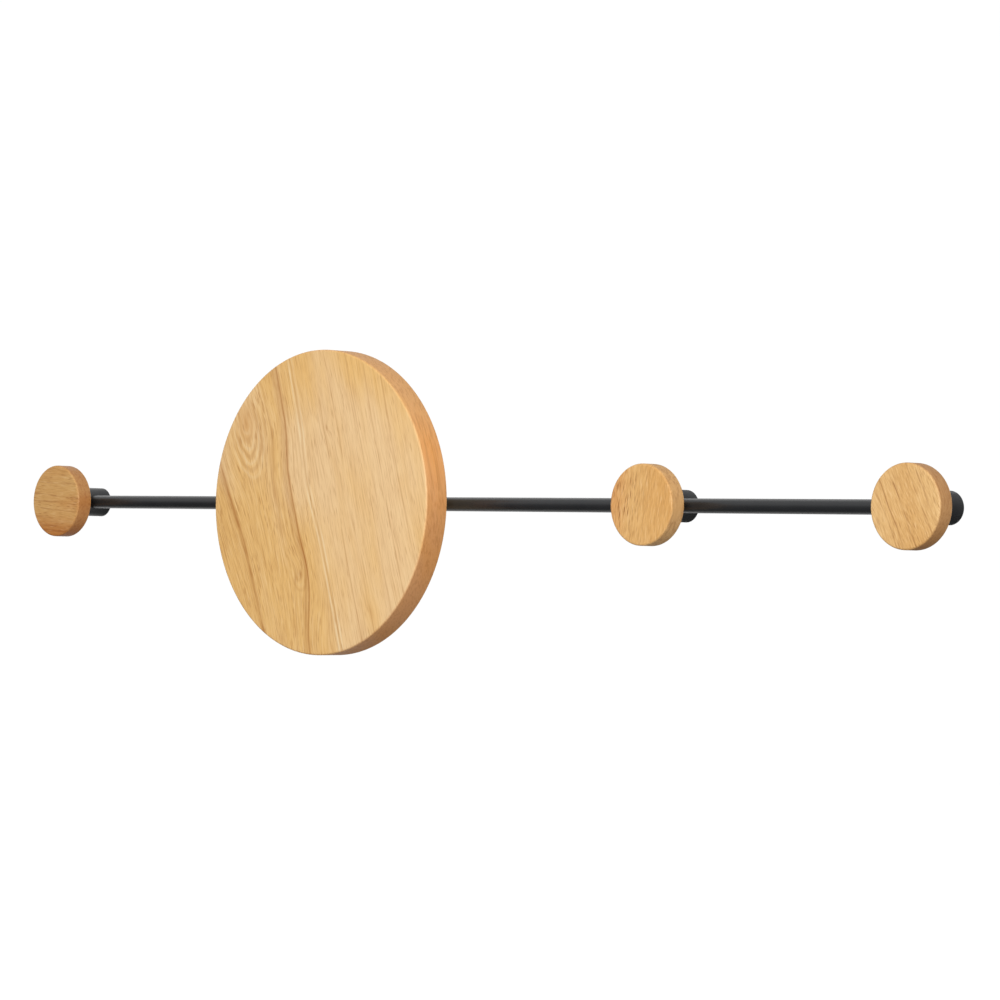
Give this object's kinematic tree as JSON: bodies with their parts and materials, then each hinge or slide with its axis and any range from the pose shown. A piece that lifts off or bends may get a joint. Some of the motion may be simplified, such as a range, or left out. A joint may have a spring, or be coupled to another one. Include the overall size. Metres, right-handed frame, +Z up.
{
  "type": "wall hook rack",
  "caption": "Wall-mounted hook rack with a slim black steel rail on round standoff posts, small round wooden knobs and a large round wooden disc.",
  "frame": {"origin": "on the wall plane, at the height of the rail's axis, midway between the two end posts, which is the centre of the two end wall holes", "axes": "+X along the rail to the right as seen from the room, +Y into the wall (the room is on -Y), +Z up"},
  "size_m": [0.8, 0.05, 0.2],
  "materials": {
    "disc_wood": "pale wood with short dark pores, clear satin lacquer",
    "knob_wood": "honey-coloured wood with short dark pores, clear satin lacquer",
    "black_steel": "satin black powder coat with a fine texture",
    "insert_brass": "turned",
    "zinc_steel": "zinc plated"
  },
  "bodies": {
    "root": {"large_disc": "disc_wood", "left_knob": "knob_wood", "middle_knob": "knob_wood", "right_knob": "knob_wood", "rail": "black_steel", "left_post": "black_steel", "disc_post": "black_steel", "middle_post": "black_steel", "right_post": "black_steel", "disc_insert": "insert_brass", "left_insert": "insert_brass", "middle_insert": "insert_brass", "right_insert": "insert_brass", "disc_stud": "zinc_steel", "knob_studs": "zinc_steel", "left_wall_spigot": "zinc_steel", "disc_wall_spigot": "zinc_steel", "middle_wall_spigot": "zinc_steel", "right_wall_spigot": "zinc_steel", "post_grub_screws": "black_steel"}
  },
  "joints": []
}
